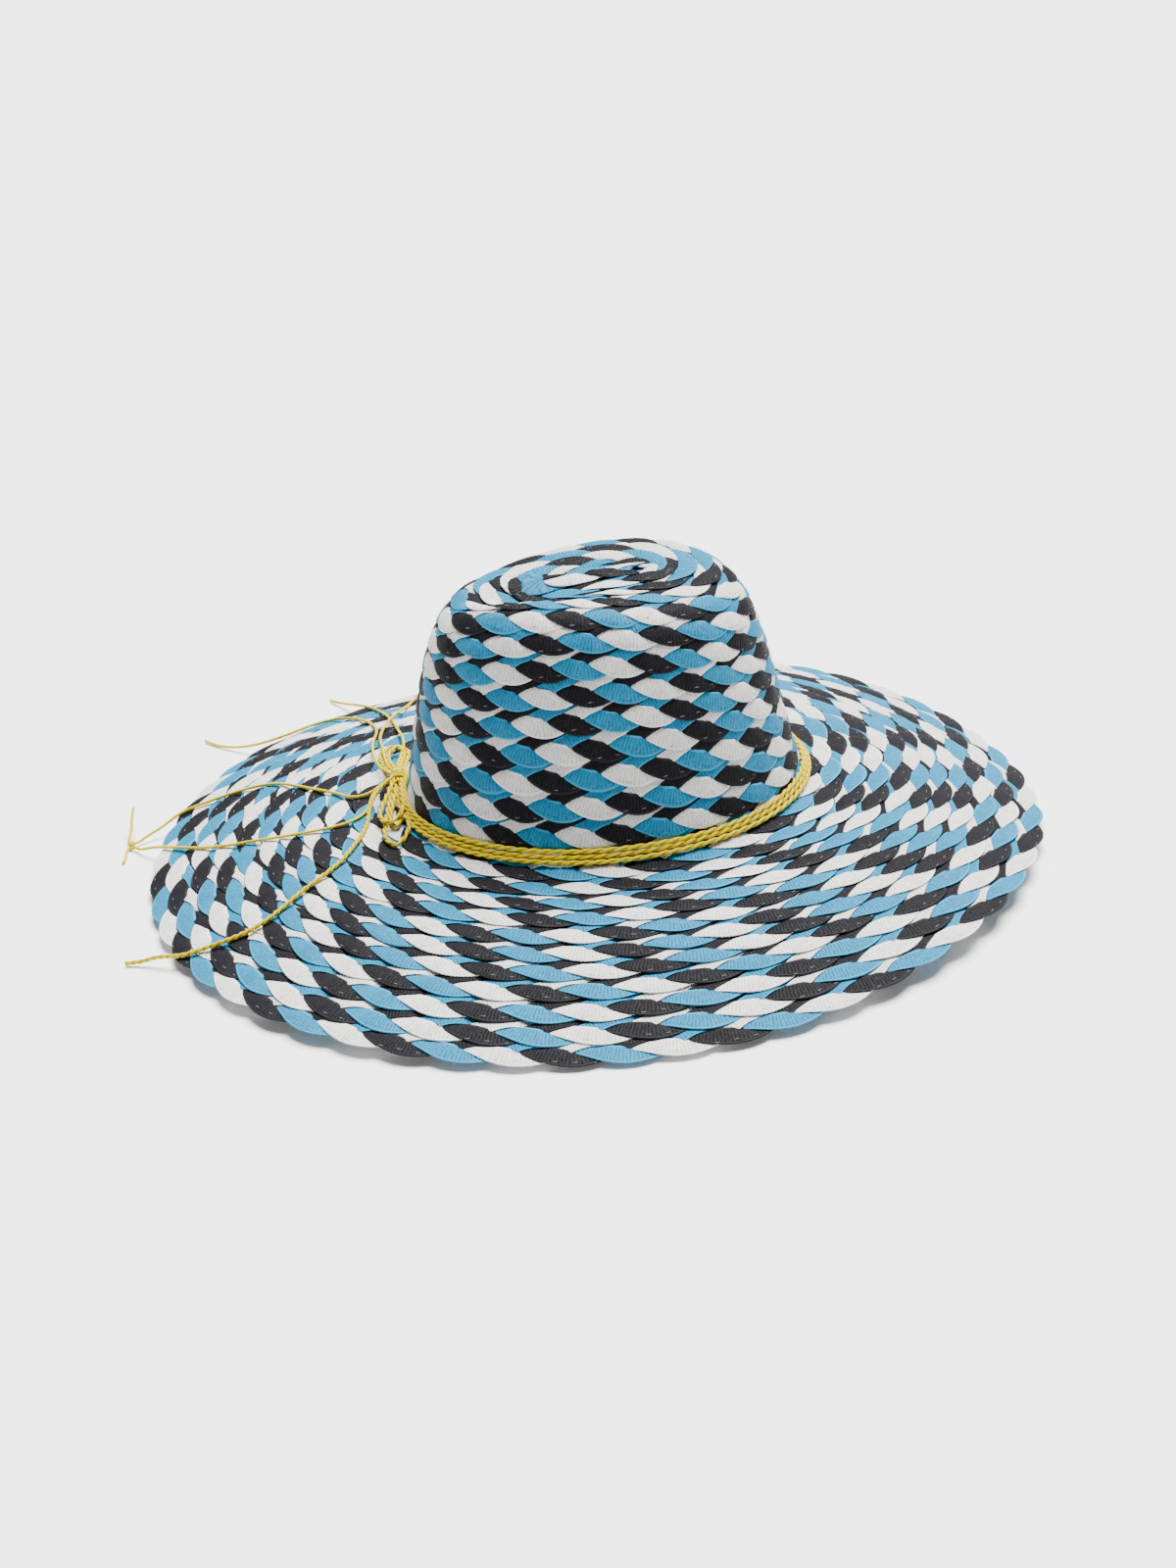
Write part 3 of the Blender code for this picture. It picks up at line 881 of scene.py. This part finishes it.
    def top(self, along: Array, across: Array) -> Array:
        """Height of the plait's upper side: the highest strand at each place.

        Args:
            along: Distances along the plait.
            across: Distances across it.

        Returns:
            The heights, or -1 where there is no strand.
        """
        _, sway, even = self.path.sizes_at(along)
        best = np.full(along.shape, -1.0)
        for strand in Strand:
            phase = self.phase(strand, along)
            side = (across - sway * np.cos(phase)) / self.half_width(even, phase)
            lift = self.lift(along, phase, side, self.half_skin(side), across / (sway + even))
            best = np.where(np.abs(side) < self.seen_half, np.maximum(best, lift), best)
        return best

    def build(self) -> list[Piece]:
        """Makes the six strand pieces and lets them stand for the crown and the brim.

        Returns:
            The pieces.
        """
        finishes = {strand: STRAW_FINISHES[strand].make() for strand in Strand}
        cut = self.path.at_turn(self.path.form.head_row)
        ends = {Region.CROWN: (0.0, cut), Region.BRIM: (cut, float(self.path.lengths[-1]))}
        made = []
        for region, (start, end) in ends.items():
            for strand in Strand:
                colour, tubes = strand.name.lower(), [self.strand(strand, start, end)]
                name, slot = f"{region.value}_{colour}_strand", f"plait_{colour}"
                made.append(tube_piece(name, tubes, finishes[strand], slot, region.value))
        return made


@dataclass
class Stitching:
    """A row of thread dashes near the outer edge of each turn of the plait."""

    plait: Plait
    pitch: float = 0.009
    length: float = 0.0026
    radius: float = 0.00013
    edge_inset: float = 0.002
    sides: int = 5
    rings: int = 5
    wanders: tuple[Three, ...] = ((0.0004, 91.0, 0.0), (0.0003, 57.0, 1.0))

    def build(self) -> Piece:
        """Makes all the stitches as one piece.

        Each stitch is a short tube along the plait. Its radius is a half ellipse of the place along
        it, and its ends dip into the straw. The row wanders by sines of a size, waves and start each.

        Returns:
            The piece.
        """
        path = self.plait.path
        starts = np.arange(self.pitch, path.lengths[-1] - 2.0 * self.pitch, self.pitch)
        wander = sum(size * np.sin(starts * waves + start) for size, waves, start in self.wanders)
        share = np.linspace(-1.0, 1.0, self.rings)
        _, sway, half = path.sizes_at(starts)
        along = starts[:, None] + 0.5 * self.length * share
        across = np.broadcast_to((sway + half - self.edge_inset + wander)[:, None], along.shape)
        top = self.plait.top(along, across)
        level = np.where(top > -0.5, top, -self.plait.sink)
        round_it = np.linspace(0.0, FULL_TURN, self.sides, endpoint=False)
        girth = self.radius * np.sqrt(np.maximum(1.0 - share**2, 0.05))
        side = across[..., None] + girth[:, None] * np.cos(round_it)
        dip = level[..., None] - 0.3 * self.radius * share[:, None] ** 2
        lift = dip + girth[:, None] * np.sin(round_it)
        points = path.lay(np.broadcast_to(along[..., None], side.shape), side, lift)
        spread = np.broadcast_to(along[0][:, None], points.shape[1:3])
        tubes = [Tube(rings, spread, spread * 0.0) for rings in points]
        return tube_piece("row_stitching", tubes, THREAD_FINISH.make(), "thread")


@dataclass
class TwistedCord:
    """Paper cord: one ply, or two plies laid round each other."""

    radius: float
    plies: int = 2
    ply_share: float = 0.65
    lay_length: float = 0.013
    twist_length: float = 0.006
    sides: int = 8
    spacing: float = 0.0009
    offset_share: float = 0.36
    oval_share: float = 0.1
    fold_share: float = 0.06
    fold_shift: float = 0.37
    single_ply_groove_shade: float = 0.4

    def tubes(self, line: Array, closed: bool = False) -> list[Tube]:
        """The cord's plies along a line.

        Each ply circles the line once in a lay length. Its own section is a circle with a soft fold, which
        turns once in a twist length. The distance across holds the cosine of the angle from the ply's outer
        side: 1 there and -1 in the groove. The material paints shade into the groove from it, and on a single
        ply that painted shade is weaker.

        Args:
            line: Points of the cord's middle line, evenly spaced.
            closed: Whether the line is a ring.

        Returns:
            One tube for each ply.
        """
        run = run_along(line)
        total = run[-1] + (np.linalg.norm(line[0] - line[-1]) if closed else 0.0)
        turns, folds = total / self.lay_length, total / self.twist_length
        ahead = np.gradient(line, axis=0)
        if closed:
            turns, folds = round(turns), round(folds)
            ahead = np.roll(line, -1, 0) - np.roll(line, 1, 0)
        aside = unit(np.cross(unit(ahead), (0.0, 0.0, 1.0)))
        above = np.cross(aside, unit(ahead))
        round_it = np.linspace(0.0, FULL_TURN, self.sides, endpoint=False)
        offset, groove_shade_share = (self.offset_share, 1.0) if self.plies > 1 else (0.0, self.single_ply_groove_shade)
        tubes = []
        for ply in range(self.plies):
            laid = FULL_TURN * (turns * run / total + ply / self.plies)
            fold = FULL_TURN * (folds * run / total + self.fold_shift * ply)[:, None]
            swell = 1.0 + self.oval_share * np.cos(2.0 * (round_it - fold))
            girth = self.ply_share * self.radius * (swell + self.fold_share * np.cos(3.0 * round_it - fold))
            middle = line + offset * self.radius * round_about(aside, above, laid)
            rings = middle[:, None] + girth[..., None] * round_about(aside[:, None], above[:, None], round_it)
            # This cosine guides the painted groove shade of the cord's material, weaker on a single ply.
            outward = 0.01 * (1.0 - groove_shade_share + groove_shade_share * np.cos(round_it - laid[:, None]))
            tubes.append(Tube(rings, np.broadcast_to(run[:, None], girth.shape), outward, closed))
        return tubes


@dataclass
class CordWork:
    """Sizes and places that the band, the bow and the loose ends share."""

    form: HatForm
    material: Material
    cord_radius: float = 0.0013
    ply_radius: float = 0.0007
    thick_tail_radius: float = 0.0011
    gap: float = 0.0003
    row_lap: float = 0.0014
    plait_relief: float = 0.0014
    knot_x: float = -0.1022
    knot_y: float = 0.017
    knot_lift: float = 0.0056
    knot_half_length: float = 0.0062
    knot_half_width: float = 0.0046
    knot_half_height: float = 0.0038
    end_knot: Three = (-0.255, 0.0368, 0.0025)
    end_knot_radius: float = 0.0022
    end_knot_points: int = 80

    def piece(self, name: str, tubes: list[Tube], *nodes: str) -> Piece:
        """A piece of cord made of its plies, which stands for the named solids."""
        return tube_piece(name, tubes, self.material, "cord", *nodes)

    def twisted(self, name: str, route: Array, closed: bool = False) -> Piece:
        """A band cord or a loop: the thick cord along a route."""
        cord = TwistedCord(self.cord_radius)
        return self.piece(name + "_twisted", cord.tubes(even_line(route, cord.spacing, closed), closed), name)


# The band's cords, and the row of plait that each lies on.
BAND_SEATS = (("band_cord_low", 13.17), ("band_cord_middle", 12.84), ("band_cord_high", 12.57))


@dataclass
class Band:
    """The three cords round the crown's foot."""

    work: CordWork
    points: int = 96
    wander_rows: float = 0.02

    def build(self) -> list[Piece]:
        """Lays each cord on its row, with a slight wander up and down.

        Returns:
            The pieces.
        """
        work = self.work
        angle = np.linspace(0.0, FULL_TURN, self.points, endpoint=False)
        lift = np.full_like(angle, work.row_lap / 2 + work.gap + work.cord_radius)
        made = []
        for number, (name, row) in enumerate(BAND_SEATS):
            wander = np.sin(3.0 * angle + 2.1 * number) + 0.5 * np.sin(7.0 * angle + number)
            seat = work.form.off_face(row + self.wander_rows * wander, angle, lift)
            made.append(work.twisted(name, seat, closed=True))
        return made


# The bow's loops: name, then what a loop's route asks for.
BOW_LOOPS = (
    # name, reach, half width, leave, layer, lean
    ("bow_loop_near_long", -0.062, 0.0104, 0.0036, 0, 0.0006),
    ("bow_loop_near_short", -0.044, 0.0056, 0.0011, 0, 0.0002),
    ("bow_loop_near_top", -0.043, 0.0104, 0.0024, 1, -0.0022),
    ("bow_loop_far_long", 0.047, 0.0126, 0.0034, 0, -0.004),
    ("bow_loop_far_short", 0.04, 0.0072, 0.0012, 1, -0.0026),
)


@dataclass
class Bow:
    """The bow at the crown's left end: its loops, laid on the brim, and the turns of its knot."""

    work: CordWork
    knot_turns: float = 2.5
    knot_spacing: float = 0.0008
    loop_points: int = 25
    loop_round: float = 0.85
    loop_fill: float = 1.25
    loop_lean: float = 1.5
    loop_drop: float = 1.6
    helix_points: int = 90
    helix_step: float = 1.9
    helix_wander: float = 0.0005
    inner_share: float = 0.9

    def loop_route(self, reach: float, half_width: float, leave: float, layer: int, lean: float) -> Array:
        """Route of one loop, out from the knot and back.

        The way out is a sine of half a turn. The side step is its cosine, and grows from the step at
        the knot to the loop's half width. The loop leans by the sine of its way out.

        Args:
            reach: How far it goes along the band, minus toward the viewer.
            half_width: Half its width.
            leave: Side step where it leaves the knot.
            layer: 1 for a loop that lies over the others.
            lean: How far its middle lies beside the knot's.

        Returns:
            The points of the route.
        """
        work = self.work
        step = 2.0 * work.cord_radius
        turn = np.linspace(0.0, math.pi, self.loop_points)
        out = np.sin(turn)
        y = work.knot_y + math.copysign(0.6 * work.knot_half_length, reach) + reach * out**self.loop_round
        swell = np.cos(turn) * (leave + (half_width - leave) * np.minimum(1.0, self.loop_fill * out) ** 1.6)
        x = work.knot_x + swell + lean * np.sin(0.5 * math.pi * np.minimum(1.0, self.loop_lean * out))
        rest = work.form.height_over(x, y) + work.plait_relief + work.cord_radius + layer * step
        high = work.form.head_line_height + work.knot_lift + (layer - 0.5) * 0.8 * step
        raised = np.maximum(0.0, high - rest) * np.maximum(0.0, 1.0 - self.loop_drop * out) ** 1.5
        return np.stack([x, y, rest + raised], -1)

    def knot_tubes(self) -> list[Tube]:
        """The knot: turns of cord round the waist, over four cords that pass through.

        The turns are a helix on an ellipse across the waist. The cords inside are straight.

        Returns:
            The tubes.
        """
        work = self.work
        centre = np.array([work.knot_x, work.knot_y, work.form.head_line_height + work.knot_lift])
        turn = np.linspace(0.0, self.knot_turns * FULL_TURN, self.helix_points)
        wide, high = work.knot_half_width - work.cord_radius, work.knot_half_height - work.cord_radius
        along = self.helix_step * work.cord_radius * (turn / FULL_TURN - 0.5 * self.knot_turns)
        along = along + self.helix_wander * np.sin(turn)
        lines = [np.stack([wide * np.cos(turn), along, high * np.sin(turn)], -1)]
        ends = np.linspace(-1.0, 1.0, 5)[:, None] * (0.0, work.knot_half_length, 0.0)
        for x, z in ((-1.5, 0.0), (0.0, 0.6), (1.5, 0.0), (0.0, -0.8)):
            lines.append(self.inner_share * work.cord_radius * np.array([x, 0.0, z]) + ends)
        cord = TwistedCord(work.cord_radius)
        return [tube for line in lines for tube in cord.tubes(even_line(centre + line, self.knot_spacing))]

    def build(self) -> list[Piece]:
        """Makes the loops and the knot.

        Returns:
            The pieces.
        """
        made = [self.work.twisted(name, self.loop_route(*shape)) for name, *shape in BOW_LOOPS]
        return [*made, self.work.piece("bow_knot_turns", self.knot_tubes(), "bow_knot")]


# Routes of the loose ends in millimetres: x, y, and lift above where the cord would rest. The two that
# are tied together end with the short tip beyond their knot.
TAIL_ROUTES = {
    "tail_far_crossing": (
        (-101.2, 19, 5.8), (-102.2, 25, 5.4), (-103, 40, 3.6), (-101.2, 60, 3),
        (-102.4, 77, 2.2), (-105.1, 89.2, 1), (-109, 109.8, 0), (-119.5, 148, 0),
        (-131.1, 177.9, 0.2), (-138.5, 189, 5), (-146.2, 198.5, 2.2), (-155.2, 209, 0.2),
    ),
    "tail_far_crown": (
        (-103.2, 19, 5.8), (-104.8, 25, 5.2), (-109.2, 40, 3.8), (-112.4, 60, 3.2),
        (-115, 80, 1.2), (-114.8, 96, 0.4), (-111.5, 110, 2), (-107.2, 123, 2.4),
        (-103, 148, 0.2), (-100.2, 166.1, 0), (-98.5, 176, 0),
    ),
    "tail_far_long": (
        (-104.4, 19, 5.6), (-107.4, 25, 5.2), (-113.8, 40, 3.6), (-118, 60, 2.4),
        (-119, 80, 0.6), (-118.4, 98, 0), (-122.1, 116.5, 0), (-130.8, 137.6, 0),
        (-143.1, 154, 0), (-155.3, 157.5, 0), (-166.4, 150, 0.4), (-177.5, 142.5, 0.4),
        (-189.5, 142.5, 7), (-207, 150, 2), (-219.8, 158.5, 0.2), (-228.5, 166.5, 0.4),
    ),
    "tail_left_upper": (
        (-104, 18, 5), (-109.6, 16.8, 3.6), (-118, 13, 0.8), (-125.6, 11.5, 0),
        (-135.4, 17.3, 0), (-149.8, 29.7, 0), (-163.1, 43.6, 0), (-176.5, 55.2, 0),
        (-188.9, 59.4, 0), (-200.4, 60.2, 0), (-214.6, 59.2, 0), (-229.1, 55.6, 0),
        (-240, 48, 4.6), (-249.2, 41.8, 1.8), (-253.3, 39.3, 1), (-255.6, 39.6, 1.4),
        (-256.2, 46, 4), (-256, 54, 8.2), (-255.5, 62, 11.8),
    ),
    "tail_left_lower": (
        (-104, 16, 4.6), (-110, 13, 3.6), (-115.3, 9.5, 1.8), (-117.2, 3, 0.6),
        (-120.2, -8.8, 0), (-130.8, -18.6, 0), (-146.4, -20.4, 0), (-161.4, -17.8, 0),
        (-177, -12.5, 0), (-193.2, -6.9, 0), (-213.5, 3.8, 0), (-234.3, 18.3, 0.4),
        (-244, 26.2, 4), (-250.5, 31.6, 1.4), (-253.5, 34.3, 1), (-256, 34, 0.6),
        (-256.8, 27, 0.2), (-257.2, 19, 0),
    ),
    "tail_near": (
        (-103.6, 15, 6.4), (-109.2, 9.2, 6), (-116, -4, 3.4), (-117.6, -19, 0.4),
        (-122.2, -40, 0), (-128.7, -56.3, 0), (-136.9, -66.6, 0), (-145.7, -73.7, 0),
        (-162.2, -88.5, 0), (-177.8, -96.4, 0), (-196.5, -98.1, 0), (-211.9, -97.2, 0),
        (-222.5, -94, 4.4), (-231.5, -91.8, 1.6), (-240.3, -90.3, 0.2),
    ),
}
END_TIPS = {"tail_left_upper": "end_tip_up", "tail_left_lower": "end_tip_down"}


@dataclass
class LooseEnds:
    """The bow's loose ends, laid over the brim and down to the floor, and the knot in two of them."""

    work: CordWork
    lay_length: float = 0.008
    twist_length: float = 0.005
    single_share: float = 1.13
    double_share: float = 0.76
    knot_spacing: float = 0.0004

    def cord(self, name: str) -> TwistedCord:
        """The cord of a loose end: one ply, and for the near one two thicker plies.

        Args:
            name: The loose end's name.

        Returns:
            The cord.
        """
        sizes = (self.work.ply_radius, 1, self.single_share)
        if name == "tail_near":
            sizes = (self.work.thick_tail_radius, 2, self.double_share)
        return TwistedCord(*sizes, self.lay_length, self.twist_length)

    def laid(self, name: str, radius: float) -> Array:
        """A loose end's route as points that rest on the straw or on the floor.

        Args:
            name: The loose end's name.
            radius: Its radius.

        Returns:
            The points.
        """
        x, y, lift = np.array(TAIL_ROUTES[name]).T / 1000.0
        under = self.work.form.height_over(x, y)
        rest = radius + np.where(under > 0.0, under + self.work.plait_relief, self.work.gap)
        return np.stack([x, y, rest + lift], -1)

    def knot_tubes(self) -> list[Tube]:
        """The small overhand knot: a trefoil, sine and double sine round a ring, one ply thick.

        Returns:
            The tube of the ply.
        """
        work = self.work
        turn = np.linspace(0.0, FULL_TURN, work.end_knot_points, endpoint=False)
        across = np.sin(turn) + 2.0 * np.sin(2.0 * turn)
        along = np.cos(turn) - 2.0 * np.cos(2.0 * turn)
        trefoil = np.stack([across, along, -2.25 * np.sin(3.0 * turn)], -1) / 3.0
        route = np.array(work.end_knot) + (work.end_knot_radius - work.ply_radius) * trefoil
        line = even_line(route, self.knot_spacing, closed=True)
        return TwistedCord(work.ply_radius, 1, self.single_share).tubes(line, closed=True)

    def build(self) -> list[Piece]:
        """Returns:
            The pieces.
        """
        knot = self.work.piece("end_knot_turns", self.knot_tubes(), "end_knot")
        made = [knot]
        for name in TAIL_ROUTES:
            cord = self.cord(name)
            line = even_line(self.laid(name, cord.radius), cord.spacing)
            nodes = (name, END_TIPS[name]) if name in END_TIPS else (name,)
            piece = self.work.piece(name + "_twisted", cord.tubes(line), *nodes)
            2.0 * cord.radius
            made.append(piece)
        return made


@dataclass
class Studio:
    """Camera, pale floor and soft light."""

    form: HatForm
    elevation: float = math.radians(26.8)
    distance: float = 1.2
    roll: float = math.radians(-5.25)
    side_step: float = -0.0009
    long_side_px: float = 1600.0
    focal_px: float = 2304.0
    sensor: float = 36.0
    floor_half: float = 60.0
    light_place: Three = (0.36, 0.62, 1.70)
    light_aim: Three = (0.0, 0.0, 0.06)
    light_spread: float = math.radians(42.0)
    light_strength: float = 14.0
    room_strength: float = 0.17

    def camera(self) -> None:
        """A camera that looks along +Y and down at the head line, rolled so that the right side rises."""
        forward = np.array([0.0, math.cos(self.elevation), -math.sin(self.elevation)])
        right = np.array([1.0, 0.0, 0.0])
        up = np.cross(right, forward)
        cosine, sine = math.cos(self.roll), math.sin(self.roll)
        place = np.array([self.side_step, 0.0, self.form.head_line_height]) - forward * self.distance
        data = bpy.data.cameras.new("photo_camera")
        data.sensor_width = self.sensor
        data.lens = self.focal_px / self.long_side_px * self.sensor
        data.clip_start, data.clip_end = 0.05, 50.0
        pose = np.stack([right * cosine + up * sine, up * cosine - right * sine, -forward, place], -1)
        bpy.context.scene.camera = add_object("photo_camera", data, pose)

    def floor(self) -> None:
        """A wide flat floor at z = 0."""
        mesh = bpy.data.meshes.new("floor")
        half = self.floor_half
        corners = [(-half, -half, 0), (half, -half, 0), (half, half, 0), (-half, half, 0)]
        mesh.from_pydata(corners, [], [(0, 1, 2, 3)])
        mesh.materials.append(FLOOR_FINISH.make())
        add_object("floor", mesh)

    def light(self) -> None:
        """Soft light from above, even over the whole floor, and a little from all round."""
        data = bpy.data.lights.new("top_light", "SUN")
        data.angle, data.energy = self.light_spread, self.light_strength
        back = unit(np.array(self.light_place) - self.light_aim)
        side = unit(np.cross((0.0, 1.0, 0.001), back))
        add_object("top_light", data, np.stack([side, np.cross(back, side), back, self.light_place], -1))
        world = bpy.data.worlds.new("soft_room")
        world.use_nodes = True
        room = world.node_tree.nodes["Background"].inputs
        room["Color"].default_value = (1.0, 1.0, 1.0, 1.0)
        room["Strength"].default_value = self.room_strength
        bpy.context.scene.world = world

    def build(self) -> None:
        """Sets the camera, the floor and the light."""
        self.camera()
        self.floor()
        self.light()


def main() -> None:
    """Builds the hat's pieces in order and reports each one."""
    logging.basicConfig(level=logging.INFO, format="%(name)s: %(message)s")
    form = HatForm()
    Studio(form).build()
    work = CordWork(form, CORD_FINISH.make())
    plait = Plait(PlaitPath(form))
    made = LooseEnds(work).build() + Bow(work).build() + Band(work).build()
    made += plait.build() + [Stitching(plait).build()]
    for piece in made:
        LOG.info("%s has %d faces", piece.name, len(piece.data.polygons))


if __name__ == "__main__":
    main()
